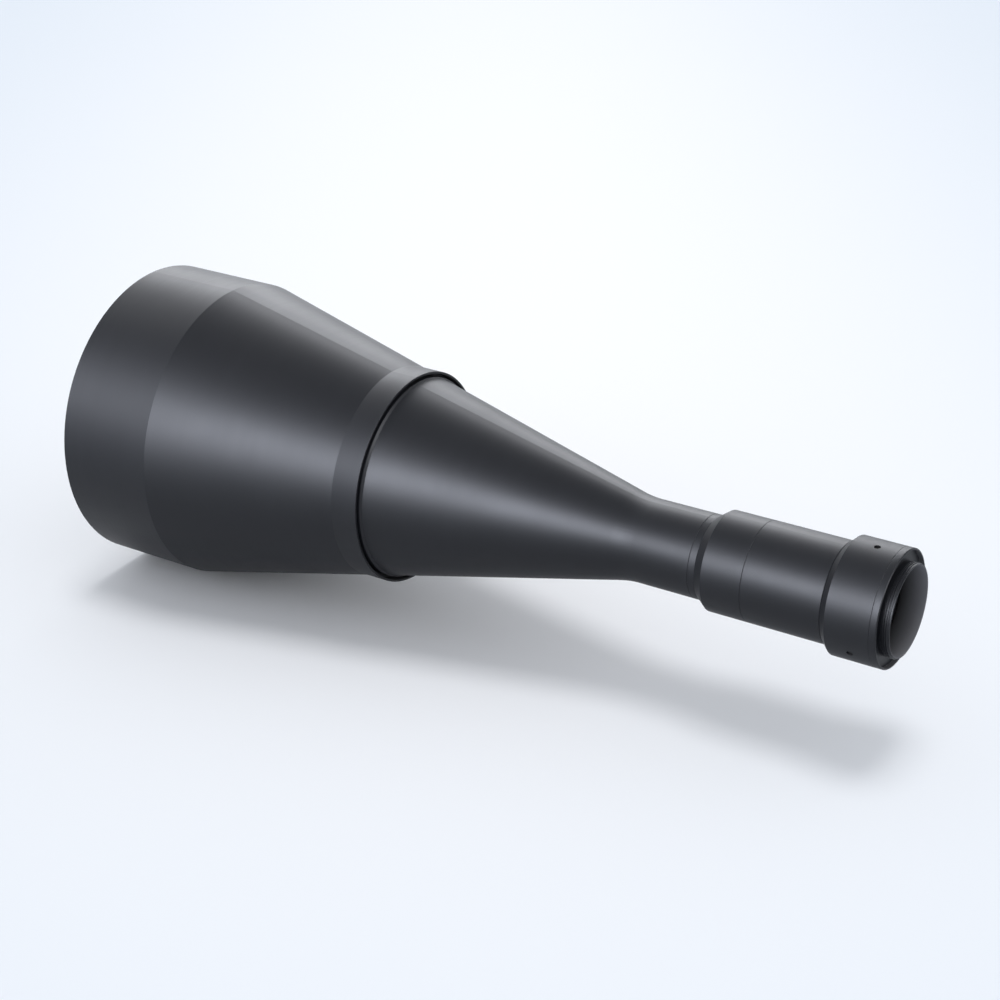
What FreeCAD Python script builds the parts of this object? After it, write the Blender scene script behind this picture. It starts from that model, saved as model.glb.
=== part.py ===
"""Large telecentric lens: a turned, black anodised barrel with a rotating camera mount.

The optical axis is the X axis, from the object side (x = 0, the front rim) to the camera side.
Every turned piece is a half section in the XZ plane, revolved about that axis.
Driving sizes live in the sheet "sizes", and the places that follow from them in "stations".
"""
import FreeCAD, Part
import math
import os
import Sketcher

DRIVING_SIZES = [
    ("front_barrel_diameter", 146.0, "outer diameter of the front barrel"),
    ("front_barrel_length", 50.3, "front rim to the start of the cone"),
    ("front_barrel_wall", 5.0, "wall of the front barrel over the glass"),
    ("front_edge_break", 0.5, "chamfer on the front rim"),
    ("edge_break", 0.15, "small chamfer on the other turned edges that show"),
    ("front_ring_recess", 5.0, "front rim to the face of the retaining ring"),
    ("front_ring_length", 6.0, "length of the front retaining ring"),
    ("front_thread_depth", 1.5, "depth of the retaining ring's thread below the bore"),
    ("front_ring_land", 3.0, "how far the ring and spacer reach in over the glass"),
    ("front_seat_land", 4.0, "how far the glass seat reaches in from the bore"),
    ("front_seat_length", 4.0, "thickness of the glass seat"),
    ("front_slot_width", 5.0, "spanner slot of the front ring"),
    ("front_slot_depth", 2.5, "spanner slot of the front ring"),
    ("front_glass_clearance", 0.1, "radial room round the front glass"),
    ("front_lens_front_curve", 420.0, "radius of curvature"),
    ("front_lens_back_curve", 520.0, "radius of curvature"),
    ("front_lens_centre", 22.0, "centre thickness"),
    ("front_air_gap", 1.2, "air between the two front lenses on the axis"),
    ("second_lens_front_curve", 230.0, "radius of curvature"),
    ("second_lens_back_curve", 520.0, "radius of curvature"),
    ("second_lens_centre", 20.0, "centre thickness"),
    ("front_cone_length", 92.6, "front barrel to the socket"),
    ("socket_diameter", 102.1, "outer diameter of the cylindrical socket"),
    ("socket_length", 13.6, "length of the socket"),
    ("socket_lip_wall", 1.0, "thin lip at the open end of the socket"),
    ("socket_gap_depth", 5.0, "depth of the open gap behind the lip"),
    ("socket_gap_width", 1.6, "width of that gap, from the lip to the rear cone's collar"),
    ("cone_thread_length", 13.5, "engaged length of the thread between the two cones"),
    ("thread_clearance", 0.05, "radial room in every thread"),
    ("cone_wall", 3.6, "radial wall of both cones"),
    ("baffle_thickness", 1.2, "light baffle between the cones"),
    ("baffle_land", 3.95, "how far the baffle reaches in from the thread"),
    ("baffle_web_land", 2.95, "how far the baffle's shoulder reaches in from the thread"),
    ("baffle_web_length", 5.8, "thickness of that shoulder"),
    ("spigot_wall", 4.0, "wall of the rear cone's threaded spigot"),
    ("collar_reach", 0.3, "how far the spigot's collar stands out of the socket"),
    ("collar_chamfer", 0.9, "chamfer from the collar down to the cone"),
    ("rear_cone_length", 118.9, "collar to the neck"),
    ("neck_diameter", 38.72, "outer diameter of the neck"),
    ("neck_length", 33.0, "neck up to its seam"),
    ("neck_wall", 3.5, "wall of the neck"),
    ("neck_blend", 5.0, "tangent length of the hollow blend from cone to neck"),
    ("neck_thread_wall", 1.96, "wall of the neck over the stop housing's thread"),
    ("neck_thread_length", 9.6, "depth of the neck's thread"),
    ("thread_end_room", 0.6, "axial room at the end of a blind thread"),
    ("stop_spigot_wall", 4.35, "wall of the stop housing's spigot"),
    ("stop_land_length", 3.2, "seam to the start of the taper"),
    ("stop_taper_length", 4.85, "length of the taper from the neck to the rear barrel"),
    ("stop_housing_length", 26.9, "neck seam to rear barrel seam"),
    ("stop_pocket_wall", 3.36, "neck radius to the pocket that takes the stop and its ring"),
    ("stop_seat_depth", 3.4, "neck seam to the seat of the stop"),
    ("stop_thickness", 0.8, "aperture stop plate"),
    ("stop_aperture", 19.0, "diameter of the fixed aperture"),
    ("stop_ring_length", 3.0, "ring that holds the aperture stop"),
    ("stop_slot_width", 2.0, "spanner slot of the stop ring"),
    ("stop_slot_depth", 1.2, "spanner slot of the stop ring"),
    ("rear_barrel_diameter", 46.0, "outer diameter of the rear barrel"),
    ("rear_barrel_length", 37.0, "rear barrel seam to its shoulder"),
    ("barrel_thread_wall", 2.2, "wall over the thread between stop housing and rear barrel"),
    ("barrel_thread_length", 9.0, "depth of that thread"),
    ("rear_seat_land", 2.0, "how far the rear seat, spacers and ring reach in over the glass"),
    ("rear_seat_depth", 1.5, "rear barrel seam to the rear group's seat"),
    ("rear_lens_wall", 2.5, "wall of the mount's spigot over the rear group"),
    ("rear_glass_clearance", 0.05, "radial room round the rear glass"),
    ("rear_thread_depth", 0.7, "depth of the rear ring's thread below the bore"),
    ("rear_ring_length", 4.0, "length of the rear retaining ring"),
    ("rear_slot_width", 2.0, "spanner slot of the rear ring"),
    ("rear_slot_depth", 1.5, "spanner slot of the rear ring"),
    ("cement_layer", 0.02, "optical cement between two bonded lenses"),
    ("rear_lens_a_front_curve", 75.0, "radius of curvature"),
    ("rear_lens_a_back_curve", 60.0, "radius of curvature, shared with lens b"),
    ("rear_lens_a_centre", 9.0, "centre thickness"),
    ("rear_lens_b_back_curve", 250.0, "radius of curvature"),
    ("rear_lens_b_centre", 3.5, "centre thickness"),
    ("front_spacer_rear_group", 5.0, "length of the rear group's first spacer"),
    ("rear_lens_c_front_curve", 48.0, "radius of curvature"),
    ("rear_lens_c_back_curve", 70.0, "radius of curvature"),
    ("rear_lens_c_centre", 6.0, "centre thickness"),
    ("back_spacer_rear_group", 4.7, "length of the rear group's second spacer"),
    ("rear_lens_d_front_curve", 52.0, "radius of curvature"),
    ("rear_lens_d_back_curve", 65.0, "radius of curvature, shared with lens e"),
    ("rear_lens_d_centre", 2.5, "centre thickness"),
    ("rear_lens_e_back_curve", 45.0, "radius of curvature"),
    ("rear_lens_e_centre", 11.0, "centre thickness"),
    ("mount_shoulder_height", 2.0, "step from the rear barrel down to the mount's spigot"),
    ("mount_spigot_end_room", 0.6, "axial room between that spigot and the camera flange"),
    ("mount_running_clearance", 0.03, "radial room between spigot and mount ring"),
    ("mount_seat_gap", 0.1, "axial room between the barrel's shoulder and the mount ring"),
    ("groove_station", 14.5, "barrel shoulder to the set screws' groove"),
    ("groove_depth", 0.7, "depth and half width of the V groove"),
    ("mount_ring_wall", 5.47, "radial wall of the camera mount ring"),
    ("mount_ring_length", 23.5, "length of the camera mount ring"),
    ("mount_ring_taper", 3.5, "length of the ring's front taper"),
    ("flange_thread_step", 1.52, "mount ring's bore out to the camera flange's thread"),
    ("flange_end_room", 0.3, "axial room in front of the camera flange's spigot"),
    ("flange_spigot_length", 5.0, "length of the camera flange's threaded spigot"),
    ("flange_thickness", 1.2, "camera flange in front of its seat"),
    ("flange_lip_height", 2.0, "lip round the camera seat"),
    ("flange_lip_wall", 0.8, "wall of that lip"),
    ("camera_thread_diameter", 42.0, "camera thread, pitch 1 mm"),
    ("camera_thread_length", 5.6, "camera seat to the end of the thread"),
    ("camera_thread_lead", 0.5, "lead chamfer of the camera thread"),
    ("camera_thread_wall", 0.9, "wall of the camera thread's barrel"),
    ("screw_diameter", 3.0, "set screw thread"),
    ("screw_sink", 1.0, "mount ring surface to the top of a set screw"),
    ("screw_point_clearance", 0.25, "screw point to the groove's floor when slackened"),
    ("screw_key_width", 1.5, "hexagon key across flats"),
    ("screw_key_depth", 2.0, "depth of the hexagon"),
    ("screw_count", 3, "set screws round the mount ring"),
    ("mount_clock_angle", 2.3, "degrees from straight up to the first set screw"),
]


def sag(curve, radius):
    """Expression for the depth of a spherical surface at a radius."""
    return f"({curve} - sqrt({curve}^2 - ({radius})^2))"


def sized(name):
    return f"sizes.{name}"


STATIONS = [
    ("front_radius", "sizes.front_barrel_diameter / 2"),
    ("front_bore", "front_radius - sizes.front_barrel_wall"),
    ("front_glass", "front_bore - sizes.front_glass_clearance"),
    ("front_clear", "front_bore - sizes.front_ring_land"),
    ("front_thread", "front_bore + sizes.front_thread_depth"),
    ("front_ring_back", "sizes.front_ring_recess + sizes.front_ring_length"),
    ("first_vertex", "front_ring_back - " + sag("sizes.front_lens_front_curve", "front_clear")),
    ("first_edge", "first_vertex + " + sag("sizes.front_lens_front_curve", "front_glass")),
    ("first_back_vertex", "first_vertex + sizes.front_lens_centre"),
    ("first_back_edge", "first_back_vertex - " + sag("sizes.front_lens_back_curve", "front_glass")),
    ("spacer_front", "first_back_vertex - " + sag("sizes.front_lens_back_curve", "front_clear")),
    ("second_vertex", "first_back_vertex + sizes.front_air_gap"),
    ("second_edge", "second_vertex + " + sag("sizes.second_lens_front_curve", "front_glass")),
    ("spacer_back", "second_vertex + " + sag("sizes.second_lens_front_curve", "front_clear")),
    ("second_back_vertex", "second_vertex + sizes.second_lens_centre"),
    ("second_back_edge", "second_back_vertex + " + sag("sizes.second_lens_back_curve", "front_glass")),
    ("front_seat_back", "second_back_edge + sizes.front_seat_length"),
    ("socket_start", "sizes.front_barrel_length + sizes.front_cone_length"),
    ("socket_end", "socket_start + sizes.socket_length"),
    ("socket_radius", "sizes.socket_diameter / 2"),
    ("front_slope", "(front_radius - socket_radius) / sizes.front_cone_length"),
    ("cone_thread", "socket_radius - sizes.socket_lip_wall - sizes.socket_gap_width"),
    ("cone_spigot", "cone_thread - sizes.thread_clearance"),
    ("socket_floor", "socket_end - sizes.socket_gap_depth"),
    ("spigot_front", "socket_floor - sizes.cone_thread_length"),
    ("baffle_seat", "spigot_front - sizes.baffle_thickness"),
    ("baffle_web_front", "baffle_seat - sizes.baffle_web_length"),
    ("front_cone_inner_start",
     "front_radius - front_slope * (front_seat_back - sizes.front_barrel_length) - sizes.cone_wall"),
    ("front_cone_inner_end",
     "front_radius - front_slope * (baffle_web_front - sizes.front_barrel_length) - sizes.cone_wall"),
    ("collar_end", "socket_end + sizes.collar_reach"),
    ("rear_cone_start", "collar_end + sizes.collar_chamfer"),
    ("rear_cone_radius", "cone_spigot - sizes.collar_chamfer"),
    ("neck_radius", "sizes.neck_diameter / 2"),
    ("neck_start", "rear_cone_start + sizes.rear_cone_length"),
    ("rear_slope", "(rear_cone_radius - neck_radius) / sizes.rear_cone_length"),
    ("blend_start", "neck_start - sizes.neck_blend / sqrt(1 + rear_slope^2)"),
    ("blend_radius", "neck_radius + rear_slope * sizes.neck_blend / sqrt(1 + rear_slope^2)"),
    ("blend_end", "neck_start + sizes.neck_blend"),
    ("spigot_bore", "cone_spigot - sizes.spigot_wall"),
    ("neck_bore", "neck_radius - sizes.neck_wall"),
    ("rear_cone_inner_start",
     "rear_cone_start - (spigot_bore + sizes.cone_wall - rear_cone_radius) / rear_slope"),
    ("rear_cone_inner_end",
     "neck_start - (neck_bore + sizes.cone_wall - neck_radius) / rear_slope"),
    ("neck_seam", "neck_start + sizes.neck_length"),
    ("neck_thread", "neck_radius - sizes.neck_thread_wall"),
    ("stop_bore", "neck_thread - sizes.thread_clearance - sizes.stop_spigot_wall"),
    ("neck_thread_floor", "neck_seam - sizes.neck_thread_length"),
    ("stop_spigot_front", "neck_thread_floor + sizes.thread_end_room"),
    ("stop_seat", "neck_seam + sizes.stop_seat_depth"),
    ("stop_back", "stop_seat + sizes.stop_thickness"),
    ("stop_pocket", "neck_radius - sizes.stop_pocket_wall"),
    ("rear_radius", "sizes.rear_barrel_diameter / 2"),
    ("barrel_seam", "neck_seam + sizes.stop_housing_length"),
    ("barrel_thread", "rear_radius - sizes.barrel_thread_wall"),
    ("barrel_socket_floor", "barrel_seam - sizes.barrel_thread_length"),
    ("barrel_spigot_front", "barrel_socket_floor + sizes.thread_end_room"),
    ("barrel_shoulder", "barrel_seam + sizes.rear_barrel_length"),
    ("mount_spigot", "rear_radius - sizes.mount_shoulder_height"),
    ("rear_bore", "mount_spigot - sizes.rear_lens_wall"),
    ("rear_clear", "rear_bore - sizes.rear_seat_land"),
    ("rear_glass", "rear_bore - sizes.rear_glass_clearance"),
    ("rear_thread", "rear_bore + sizes.rear_thread_depth"),
    ("rear_seat", "barrel_seam + sizes.rear_seat_depth"),
    ("a_vertex", "rear_seat - " + sag("sizes.rear_lens_a_front_curve", "rear_clear")),
    ("a_edge", "a_vertex + " + sag("sizes.rear_lens_a_front_curve", "rear_glass")),
    ("a_back_vertex", "a_vertex + sizes.rear_lens_a_centre"),
    ("a_back_edge", "a_back_vertex - " + sag("sizes.rear_lens_a_back_curve", "rear_glass")),
    ("b_vertex", "a_back_vertex + sizes.cement_layer"),
    ("b_edge", "a_back_edge + sizes.cement_layer"),
    ("b_back_vertex", "b_vertex + sizes.rear_lens_b_centre"),
    ("b_back_edge", "b_back_vertex - " + sag("sizes.rear_lens_b_back_curve", "rear_glass")),
    ("rear_spacer_a_front", "b_back_vertex - " + sag("sizes.rear_lens_b_back_curve", "rear_clear")),
    ("rear_spacer_a_back", "rear_spacer_a_front + sizes.front_spacer_rear_group"),
    ("c_vertex", "rear_spacer_a_back - " + sag("sizes.rear_lens_c_front_curve", "rear_clear")),
    ("c_edge", "c_vertex + " + sag("sizes.rear_lens_c_front_curve", "rear_glass")),
    ("c_back_vertex", "c_vertex + sizes.rear_lens_c_centre"),
    ("c_back_edge", "c_back_vertex + " + sag("sizes.rear_lens_c_back_curve", "rear_glass")),
    ("d_edge", "c_back_edge + sizes.back_spacer_rear_group"),
    ("d_vertex", "d_edge + " + sag("sizes.rear_lens_d_front_curve", "rear_glass")),
    ("d_back_vertex", "d_vertex + sizes.rear_lens_d_centre"),
    ("d_back_edge", "d_back_vertex + " + sag("sizes.rear_lens_d_back_curve", "rear_glass")),
    ("e_vertex", "d_back_vertex + sizes.cement_layer"),
    ("e_edge", "d_back_edge + sizes.cement_layer"),
    ("e_back_vertex", "e_vertex + sizes.rear_lens_e_centre"),
    ("e_back_edge", "e_back_vertex - " + sag("sizes.rear_lens_e_back_curve", "rear_glass")),
    ("rear_ring_front", "e_back_vertex - " + sag("sizes.rear_lens_e_back_curve", "rear_clear")),
    ("rear_ring_back", "rear_ring_front + sizes.rear_ring_length"),
    ("rear_thread_start", "(e_back_edge + rear_ring_front) / 2"),
    ("groove_centre", "barrel_shoulder + sizes.groove_station"),
    ("mount_front", "barrel_shoulder + sizes.mount_seat_gap"),
    ("mount_bore", "mount_spigot + sizes.mount_running_clearance"),
    ("mount_radius", "mount_bore + sizes.mount_ring_wall"),
    ("mount_back", "mount_front + sizes.mount_ring_length"),
    ("flange_front", "mount_back - sizes.flange_spigot_length"),
    ("flange_pocket_floor", "flange_front - sizes.flange_end_room"),
    ("mount_spigot_end", "flange_front - sizes.mount_spigot_end_room"),
    ("flange_thread", "mount_bore + sizes.flange_thread_step"),
    ("flange_seat", "mount_back + sizes.flange_thickness"),
    ("camera_thread", "sizes.camera_thread_diameter / 2"),
    ("lens_end", "flange_seat + sizes.camera_thread_length"),
    ("throat", "camera_thread - sizes.camera_thread_wall"),
]

FULL_TURN = 360.0


def make_sheet(doc):
    """The driving sizes, one named cell each."""
    sheet = doc.addObject("Spreadsheet::Sheet", "sizes")
    for row, (alias, value, meaning) in enumerate(DRIVING_SIZES, start=1):
        sheet.set(f"A{row}", meaning)
        sheet.set(f"B{row}", str(value))
        sheet.setAlias(f"B{row}", alias)
    doc.recompute()
    return sheet


def make_stations(doc):
    """Places and radii that follow from the driving sizes."""
    stations = doc.addObject("App::VarSet", "stations")
    for name, formula in STATIONS:
        stations.addProperty("App::PropertyFloat", name, "stations")
    for name, formula in STATIONS:
        stations.setExpression(name, formula)
    doc.recompute()
    return stations


def at(name):
    """Expression that reads a station."""
    return f"stations.{name}"


def before(name):
    """A small chamfer ahead of a station."""
    return f"stations.{name} - sizes.edge_break"


def after(name):
    """A small chamfer past a station."""
    return f"stations.{name} + sizes.edge_break"


def below(name):
    """A small chamfer in from a radius."""
    return f"stations.{name} - sizes.edge_break"


def origin_feature(body, role):
    return next(feature for feature in body.Origin.OriginFeatures if feature.Role == role)


def value_of(sketch, expression):
    return float(sketch.evalExpression(expression))


def place_point(sketch, geometry, end, station, radius):
    """Tie one corner of a half section to its station along the axis and its radius."""
    on_rim_plane = station == "0"
    on_axis = radius == "0"
    if on_rim_plane:
        sketch.addConstraint(Sketcher.Constraint("PointOnObject", geometry, end, -2))
    else:
        value = value_of(sketch, station)
        index = sketch.addConstraint(Sketcher.Constraint("DistanceX", -1, 1, geometry, end, value))
        sketch.setExpression(f"Constraints[{index}]", station)
    if on_axis:
        sketch.addConstraint(Sketcher.Constraint("PointOnObject", geometry, end, -1))
    else:
        value = value_of(sketch, radius)
        index = sketch.addConstraint(Sketcher.Constraint("DistanceY", -1, 1, geometry, end, value))
        sketch.setExpression(f"Constraints[{index}]", radius)


def arc_between(start, finish, centre):
    """The shorter arc from start to finish about centre, counter-clockwise as sketches want it."""
    radius = (start - centre).Length
    angles = [math.atan2(point.y - centre.y, point.x - centre.x) for point in (start, finish)]
    reverse = (angles[1] - angles[0]) % (2 * math.pi) > math.pi
    if reverse:
        angles.reverse()
    circle = Part.Circle(centre, FreeCAD.Vector(0, 0, 1), radius)
    return Part.ArcOfCircle(circle, angles[0], angles[1]), reverse


def turned(doc, label, corners, curved=None):
    """A turned piece: its half section revolved about the optical axis.

    Each corner is (station, radius). curved maps the edge that starts at a corner to "axis", for a
    spherical surface centred on the optical axis, or to the station of a hollow blend's centre.
    """
    curved = curved or {}
    body = doc.addObject("PartDesign::Body", label)
    body.Label = label
    sketch = body.newObject("Sketcher::SketchObject", f"{label}_section")
    sketch.AttachmentSupport = [(origin_feature(body, "XZ_Plane"), "")]
    sketch.MapMode = "FlatFace"
    points = [
        FreeCAD.Vector(value_of(sketch, station), value_of(sketch, radius), 0)
        for station, radius in corners
    ]
    count = len(corners)
    ends = []
    for index in range(count):
        start = points[index]
        finish = points[(index + 1) % count]
        if index in curved:
            centre = blend_centre(sketch, start, finish, curved[index])
            arc, reverse = arc_between(start, finish, centre)
            geometry = sketch.addGeometry(arc)
            ends.append((geometry, 2, 1) if reverse else (geometry, 1, 2))
        else:
            geometry = sketch.addGeometry(Part.LineSegment(start, finish))
            ends.append((geometry, 1, 2))
    for index in range(count):
        geometry, begin, end = ends[index]
        following, following_begin, following_end = ends[(index + 1) % count]
        joined = Sketcher.Constraint("Coincident", geometry, end, following, following_begin)
        sketch.addConstraint(joined)
    for index, (station, radius) in enumerate(corners):
        place_point(sketch, ends[index][0], ends[index][1], station, radius)
    for index, centre in curved.items():
        geometry = ends[index][0]
        if centre == "axis":
            sketch.addConstraint(Sketcher.Constraint("PointOnObject", geometry, 3, -1))
        else:
            value = value_of(sketch, centre)
            place = sketch.addConstraint(Sketcher.Constraint("DistanceX", -1, 1, geometry, 3, value))
            sketch.setExpression(f"Constraints[{place}]", centre)
    revolution = body.newObject("PartDesign::Revolution", f"{label}_turned")
    revolution.Profile = sketch
    revolution.ReferenceAxis = (sketch, ["H_Axis"])
    revolution.Angle = FULL_TURN
    doc.recompute()
    return body


def blend_centre(sketch, start, finish, centre):
    """Centre of the circle through two points that lies on the axis or at a given station."""
    middle = (start + finish) * 0.5
    along = finish - start
    if centre == "axis":
        shift = along.y * middle.y / along.x
        return FreeCAD.Vector(middle.x + shift, 0, 0)
    station = value_of(sketch, centre)
    rise = (middle.x - station) * along.x / along.y
    return FreeCAD.Vector(station, middle.y + rise, 0)


def radial_slots(doc, body, name, face_station, width, depth, outer_radius, into_front):
    """Two spanner slots across the face of a ring, opposite each other."""
    before = body.Shape.Volume
    sketch = body.newObject("Sketcher::SketchObject", f"{name}_slot")
    sketch.AttachmentSupport = [(origin_feature(body, "YZ_Plane"), "")]
    sketch.MapMode = "FlatFace"
    sketch.setExpression("AttachmentOffset.Base.z", face_station)
    half = value_of(sketch, width) / 2
    reach = value_of(sketch, outer_radius)
    corners = [(-half, 0.0), (half, 0.0), (half, reach), (-half, reach)]
    lines = []
    for index, (across, up) in enumerate(corners):
        next_across, next_up = corners[(index + 1) % len(corners)]
        start = FreeCAD.Vector(across, up, 0)
        finish = FreeCAD.Vector(next_across, next_up, 0)
        lines.append(sketch.addGeometry(Part.LineSegment(start, finish)))
    for index, line in enumerate(lines):
        following = lines[(index + 1) % len(lines)]
        sketch.addConstraint(Sketcher.Constraint("Coincident", line, 2, following, 1))
    bottom, right, top, left = lines
    sketch.addConstraint(Sketcher.Constraint("Horizontal", bottom))
    sketch.addConstraint(Sketcher.Constraint("Horizontal", top))
    sketch.addConstraint(Sketcher.Constraint("Vertical", right))
    sketch.addConstraint(Sketcher.Constraint("Vertical", left))
    sketch.addConstraint(Sketcher.Constraint("Symmetric", bottom, 1, bottom, 2, -1, 1))
    across_flats = sketch.addConstraint(Sketcher.Constraint("DistanceX", bottom, 1, bottom, 2, 2 * half))
    sketch.setExpression(f"Constraints[{across_flats}]", width)
    length = sketch.addConstraint(Sketcher.Constraint("DistanceY", right, 1, right, 2, reach))
    sketch.setExpression(f"Constraints[{length}]", outer_radius)
    pocket = body.newObject("PartDesign::Pocket", f"{name}_slot_cut")
    pocket.Profile = sketch
    pocket.setExpression("Length", depth)
    pocket.Reversed = into_front
    doc.recompute()
    pattern = body.newObject("PartDesign::PolarPattern", f"{name}_slots")
    pattern.Originals = [pocket]
    pattern.Axis = (origin_feature(body, "X_Axis"), [""])
    pattern.Angle = FULL_TURN
    pattern.Occurrences = 2
    body.Tip = pattern
    doc.recompute()
    if body.Shape.Volume >= before:
        raise RuntimeError(f"the spanner slots of {name} cut nothing")


def screw_holes(doc, body):
    """Threaded radial holes for the set screws, through the wall of the mount ring."""
    before = body.Shape.Volume
    sketch = body.newObject("Sketcher::SketchObject", "screw_hole")
    sketch.AttachmentSupport = [(origin_feature(body, "XY_Plane"), "")]
    sketch.MapMode = "FlatFace"
    station = value_of(sketch, at("groove_centre"))
    radius = value_of(sketch, "sizes.screw_diameter / 2")
    centre = FreeCAD.Vector(station, 0, 0)
    circle = sketch.addGeometry(Part.Circle(centre, FreeCAD.Vector(0, 0, 1), radius))
    sketch.addConstraint(Sketcher.Constraint("PointOnObject", circle, 3, -1))
    place = sketch.addConstraint(Sketcher.Constraint("DistanceX", -1, 1, circle, 3, station))
    sketch.setExpression(f"Constraints[{place}]", at("groove_centre"))
    size = sketch.addConstraint(Sketcher.Constraint("Radius", circle, radius))
    sketch.setExpression(f"Constraints[{size}]", "sizes.screw_diameter / 2")
    pocket = body.newObject("PartDesign::Pocket", "screw_hole_cut")
    pocket.Profile = sketch
    pocket.setExpression("Length", "stations.mount_radius + sizes.screw_sink")
    pocket.Reversed = True
    doc.recompute()
    pattern = body.newObject("PartDesign::PolarPattern", "screw_hole_circle")
    pattern.Originals = [pocket]
    pattern.Axis = (origin_feature(body, "X_Axis"), [""])
    pattern.Angle = FULL_TURN
    pattern.setExpression("Occurrences", "sizes.screw_count")
    body.Tip = pattern
    doc.recompute()
    if body.Shape.Volume >= before:
        raise RuntimeError("the set screw holes cut nothing")


def clocked(piece, sheet):
    """Turn a piece of the camera mount about the optical axis to its angle at rest."""
    axis = FreeCAD.Vector(1, 0, 0)
    piece.Placement = FreeCAD.Placement(
        FreeCAD.Vector(), FreeCAD.Rotation(axis, sheet.mount_clock_angle)
    )
    return piece


def front_housing(doc):
    """Front barrel, front cone and the socket for the rear cone, turned from one bar."""
    return turned(doc, "front_housing", [
        ("0", at("front_thread") + " + sizes.front_edge_break"),
        ("0", at("front_radius") + " - sizes.front_edge_break"),
        (sized("front_edge_break"), at("front_radius")),
        (sized("front_barrel_length"), at("front_radius")),
        (at("socket_start"), at("socket_radius")),
        (before("socket_end"), at("socket_radius")),
        (at("socket_end"), below("socket_radius")),
        (at("socket_end"), at("socket_radius") + " - sizes.socket_lip_wall"),
        (at("socket_floor"), at("socket_radius") + " - sizes.socket_lip_wall"),
        (at("socket_floor"), at("cone_thread")),
        (at("baffle_seat"), at("cone_thread")),
        (at("baffle_seat"), at("cone_thread") + " - sizes.baffle_web_land"),
        (at("baffle_web_front"), at("cone_thread") + " - sizes.baffle_web_land"),
        (at("baffle_web_front"), at("front_cone_inner_end")),
        (at("front_seat_back"), at("front_cone_inner_start")),
        (at("front_seat_back"), at("front_bore") + " - sizes.front_seat_land"),
        (at("second_back_edge"), at("front_bore") + " - sizes.front_seat_land"),
        (at("second_back_edge"), at("front_bore")),
        (at("first_edge"), at("front_bore")),
        (at("first_edge"), at("front_thread")),
        (sized("front_edge_break"), at("front_thread")),
    ])


def front_group(doc):
    """The two large lenses, the spacer between them and the ring that holds them in."""
    ring = turned(doc, "front_retaining_ring", [
        (sized("front_ring_recess"), at("front_clear")),
        (sized("front_ring_recess"), at("front_thread") + " - sizes.thread_clearance"),
        (at("front_ring_back"), at("front_thread") + " - sizes.thread_clearance"),
        (at("front_ring_back"), at("front_clear")),
    ])
    radial_slots(
        doc, ring, "front_ring", sized("front_ring_recess"), sized("front_slot_width"),
        sized("front_slot_depth"), at("front_thread"), True,
    )
    first = turned(doc, "front_lens", [
        (at("first_vertex"), "0"),
        (at("first_edge"), at("front_glass")),
        (at("first_back_edge"), at("front_glass")),
        (at("first_back_vertex"), "0"),
    ], {0: "axis", 2: "axis"})
    spacer = turned(doc, "front_lens_spacer", [
        (at("spacer_front"), at("front_clear")),
        (at("spacer_front"), at("front_glass")),
        (at("spacer_back"), at("front_glass")),
        (at("spacer_back"), at("front_clear")),
    ])
    second = turned(doc, "second_lens", [
        (at("second_vertex"), "0"),
        (at("second_edge"), at("front_glass")),
        (at("second_back_edge"), at("front_glass")),
        (at("second_back_vertex"), "0"),
    ], {0: "axis", 2: "axis"})
    return [ring, first, spacer, second]


def cone_baffle(doc):
    """Thin blackened ring clamped between the two cones to stop stray light."""
    return turned(doc, "cone_baffle", [
        (at("baffle_seat"), at("cone_thread") + " - sizes.baffle_land"),
        (at("baffle_seat"), at("cone_spigot")),
        (at("spigot_front"), at("cone_spigot")),
        (at("spigot_front"), at("cone_thread") + " - sizes.baffle_land"),
    ])


def rear_cone(doc):
    """Threaded spigot, collar, long cone and neck in one turned piece."""
    return turned(doc, "rear_cone", [
        (at("spigot_front"), at("spigot_bore")),
        (at("spigot_front"), at("cone_spigot")),
        (at("collar_end"), at("cone_spigot")),
        (at("rear_cone_start"), at("rear_cone_radius")),
        (at("blend_start"), at("blend_radius")),
        (at("blend_end"), at("neck_radius")),
        (before("neck_seam"), at("neck_radius")),
        (at("neck_seam"), below("neck_radius")),
        (at("neck_seam"), at("neck_thread")),
        (at("neck_thread_floor"), at("neck_thread")),
        (at("neck_thread_floor"), at("neck_bore")),
        (at("rear_cone_inner_end"), at("neck_bore")),
        (at("rear_cone_inner_start"), at("spigot_bore")),
    ], {4: at("blend_end")})


def stop_housing(doc):
    """Screws into the neck, widens to the rear barrel and holds the aperture stop."""
    return turned(doc, "stop_housing", [
        (at("stop_spigot_front"), at("stop_bore")),
        (at("stop_spigot_front"), at("neck_thread") + " - sizes.thread_clearance"),
        (at("neck_seam"), at("neck_thread") + " - sizes.thread_clearance"),
        (at("neck_seam"), below("neck_radius")),
        (after("neck_seam"), at("neck_radius")),
        (at("neck_seam") + " + sizes.stop_land_length", at("neck_radius")),
        (at("neck_seam") + " + sizes.stop_land_length + sizes.stop_taper_length", at("rear_radius")),
        (before("barrel_seam"), at("rear_radius")),
        (at("barrel_seam"), below("rear_radius")),
        (at("barrel_seam"), at("barrel_thread")),
        (at("barrel_socket_floor"), at("barrel_thread")),
        (at("barrel_socket_floor"), at("stop_pocket")),
        (at("stop_seat"), at("stop_pocket")),
        (at("stop_seat"), at("stop_bore")),
    ])


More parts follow.
